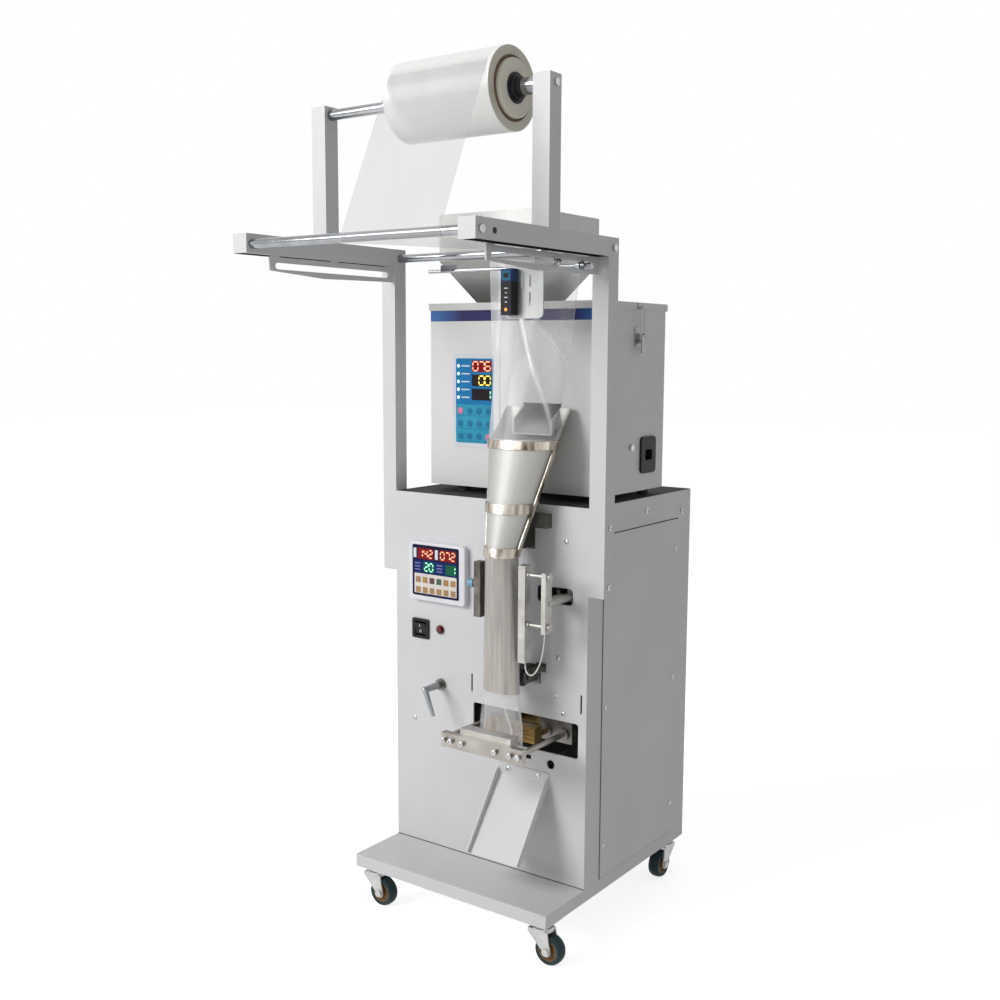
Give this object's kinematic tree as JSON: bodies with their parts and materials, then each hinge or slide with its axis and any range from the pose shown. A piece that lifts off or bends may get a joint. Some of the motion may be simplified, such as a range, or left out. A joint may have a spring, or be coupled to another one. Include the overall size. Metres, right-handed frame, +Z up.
{
  "type": "powder filling machine",
  "caption": "Upright powder filling machine on casters: a weighing feeder with hopper drops powder through a forming tube round which film from an overhead roll is sealed into bags.",
  "frame": {"origin": "on the floor, under the centre of the machine's overall outline", "axes": "+Z up, +X to the machine's right seen from its front, +Y from the front panel to the back"},
  "size_m": [0.466, 0.685, 1.402],
  "materials": {
    "painted_steel": "satin light grey powder coat",
    "white_painted_steel": "satin off-white powder coat",
    "stainless": "brushed stainless sheet",
    "chromed_bar": "polished",
    "zinc_steel": "zinc plated",
    "heater_steel": "ground steel",
    "heater_brass": "heat-stained brass",
    "cast_housing": "painted castings",
    "clear_film": "clear packaging film",
    "white_film": "wound packaging film",
    "black_plastic": "moulded",
    "white_plastic": "silicone insulated wire",
    "printed_plastic": "printed membrane",
    "red_plastic": "clear red",
    "black_rubber": "matt",
    "caster_tread": "dark green-grey rubber"
  },
  "bodies": {
    "machine_frame": {"base_platform": "painted_steel", "cabinet_shell": "painted_steel", "front_panel": "painted_steel", "cabinet_covers": "painted_steel", "stand_left": "painted_steel", "stand_right": "painted_steel", "slot_plates": "painted_steel", "stand_bars": "chromed_bar", "film_web": "clear_film", "film_sleeve": "clear_film", "former_funnel": "stainless", "former_tube": "stainless", "former_hoops": "stainless", "weigher_body": "white_painted_steel", "weigher_feet": "black_rubber", "weigher_lid": "stainless", "hopper": "stainless", "weigher_keypad": "printed_plastic", "power_inlet": "black_plastic", "weigher_spout": "stainless", "feeder_trough": "stainless", "feeder_drive": "cast_housing", "weigh_bucket": "stainless", "latch_bases": "stainless", "control_panel": "printed_plastic", "switch_housing": "black_plastic", "pilot_lamp": "red_plastic", "output_chute": "white_painted_steel", "caster_plates": "zinc_steel", "gearmotors": "cast_housing", "control_box": "painted_steel", "panel_brackets": "zinc_steel", "panel_screws": "zinc_steel", "seal_bar_left": "heater_steel", "sensor_rod": "chromed_bar"},
    "film_roll": {"roll_film": "white_film", "roll_core": "black_plastic"},
    "film_sensor": {"sensor_bracket": "zinc_steel", "photo_sensor": "black_plastic"},
    "latch_lever_left": {"latch_lever_left": "stainless"},
    "latch_loop_left": {"latch_loop_left": "zinc_steel"},
    "latch_lever_right": {"latch_lever_right": "stainless"},
    "latch_loop_right": {"latch_loop_right": "zinc_steel"},
    "bucket_flap": {"bucket_flap": "stainless"},
    "seal_bar_right": {"seal_bar_right": "heater_steel", "seal_wire": "white_plastic"},
    "front_jaw": {"front_jaw_plate": "chromed_bar", "front_jaw_block": "heater_steel"},
    "rear_jaw": {"rear_jaw_block": "heater_brass"},
    "pull_roller": {"pull_roller": "black_rubber"},
    "release_lever": {"release_lever": "chromed_bar"},
    "rocker": {"rocker": "black_plastic"},
    "caster_fork_front_left": {"caster_fork_front_left": "zinc_steel"},
    "caster_wheel_front_left": {"caster_wheel_front_left": "caster_tread"},
    "caster_fork_front_right": {"caster_fork_front_right": "zinc_steel"},
    "caster_wheel_front_right": {"caster_wheel_front_right": "caster_tread"},
    "caster_fork_rear_left": {"caster_fork_rear_left": "zinc_steel"},
    "caster_wheel_rear_left": {"caster_wheel_rear_left": "caster_tread"},
    "caster_fork_rear_right": {"caster_fork_rear_right": "zinc_steel"},
    "caster_wheel_rear_right": {"caster_wheel_rear_right": "caster_tread"}
  },
  "joints": [
    {"name": "film_roll_spin", "type": "hinge", "parent": "machine_frame", "child": "film_roll", "pos_m": [0, -0.158, 1.3425], "axis": [1, 0, 0], "continuous": true},
    {"name": "sensor_slide", "type": "slide", "parent": "machine_frame", "child": "film_sensor", "axis": [1, 0, 0], "range_m": [-0.06, 0.045]},
    {"name": "latch_lever_left_hinge", "type": "hinge", "parent": "machine_frame", "child": "latch_lever_left", "pos_m": [-0.166, 0.1515, 0.996], "axis": [0, 1, 0], "range_deg": [0, 90]},
    {"name": "latch_loop_left_hinge", "type": "hinge", "parent": "latch_lever_left", "child": "latch_loop_left", "pos_m": [-0.169, 0.1515, 0.989], "axis": [0, 1, 0], "range_deg": [-79.2, 0]},
    {"name": "latch_lever_right_hinge", "type": "hinge", "parent": "machine_frame", "child": "latch_lever_right", "pos_m": [0.199, 0.1515, 0.996], "axis": [0, -1, 0], "range_deg": [0, 90]},
    {"name": "latch_loop_right_hinge", "type": "hinge", "parent": "latch_lever_right", "child": "latch_loop_right", "pos_m": [0.202, 0.1515, 0.989], "axis": [0, -1, 0], "range_deg": [-79.2, 0]},
    {"name": "bucket_flap_hinge", "type": "hinge", "parent": "machine_frame", "child": "bucket_flap", "pos_m": [0.078, 0.131, 0.927], "axis": [1, 0, 0], "range_deg": [0, 33], "stiffness_Nm_per_rad": 0.12, "springref_deg": -20.05},
    {"name": "seal_bar_slide", "type": "slide", "parent": "machine_frame", "child": "seal_bar_right", "axis": [-1, 0, 0], "range_m": [0, 0.004]},
    {"name": "front_jaw_slide", "type": "slide", "parent": "machine_frame", "child": "front_jaw", "axis": [0, 1, 0], "range_m": [0, 0.021]},
    {"name": "rear_jaw_slide", "type": "slide", "parent": "machine_frame", "child": "rear_jaw", "axis": [0, -1, 0], "range_m": [0, 0.021]},
    {"name": "pull_roller_spin", "type": "hinge", "parent": "machine_frame", "child": "pull_roller", "pos_m": [0.078, -0.0375, 0.444], "axis": [1, 0, 0], "continuous": true},
    {"name": "release_lever_turn", "type": "hinge", "parent": "machine_frame", "child": "release_lever", "pos_m": [-0.0985, -0.02, 0.3915], "axis": [0, 1, 0], "range_deg": [0, 90]},
    {"name": "rocker_tilt", "type": "hinge", "parent": "machine_frame", "child": "rocker", "pos_m": [-0.1435, -0.0015, 0.4855], "axis": [-1, 0, 0], "range_deg": [0, 11.5]},
    {"name": "caster_swivel_front_left", "type": "hinge", "parent": "machine_frame", "child": "caster_fork_front_left", "pos_m": [-0.176, -0.0895, 0.058], "axis": [0, 0, 1], "continuous": true},
    {"name": "caster_wheel_front_left_spin", "type": "hinge", "parent": "caster_fork_front_left", "child": "caster_wheel_front_left", "pos_m": [-0.162, -0.0895, 0.025], "axis": [0, 1, 0], "continuous": true},
    {"name": "caster_swivel_front_right", "type": "hinge", "parent": "machine_frame", "child": "caster_fork_front_right", "pos_m": [0.176, -0.0895, 0.058], "axis": [0, 0, 1], "continuous": true},
    {"name": "caster_wheel_front_right_spin", "type": "hinge", "parent": "caster_fork_front_right", "child": "caster_wheel_front_right", "pos_m": [0.19, -0.0895, 0.025], "axis": [0, 1, 0], "continuous": true},
    {"name": "caster_swivel_rear_left", "type": "hinge", "parent": "machine_frame", "child": "caster_fork_rear_left", "pos_m": [-0.176, 0.3125, 0.058], "axis": [0, 0, 1], "continuous": true},
    {"name": "caster_wheel_rear_left_spin", "type": "hinge", "parent": "caster_fork_rear_left", "child": "caster_wheel_rear_left", "pos_m": [-0.18916, 0.30771, 0.025], "axis": [0.342, -0.9397, 0], "continuous": true},
    {"name": "caster_swivel_rear_right", "type": "hinge", "parent": "machine_frame", "child": "caster_fork_rear_right", "pos_m": [0.176, 0.3125, 0.058], "axis": [0, 0, 1], "continuous": true},
    {"name": "caster_wheel_rear_right_spin", "type": "hinge", "parent": "caster_fork_rear_right", "child": "caster_wheel_rear_right", "pos_m": [0.176, 0.2985, 0.025], "axis": [1, 0, 0], "continuous": true}
  ],
  "couplings": [
    {"joint": "rear_jaw_slide", "follows": "front_jaw_slide", "ratio": 1},
    {"joint": "latch_loop_left_hinge", "follows": "latch_lever_left_hinge", "ratio": -0.88},
    {"joint": "latch_loop_right_hinge", "follows": "latch_lever_right_hinge", "ratio": -0.88}
  ]
}
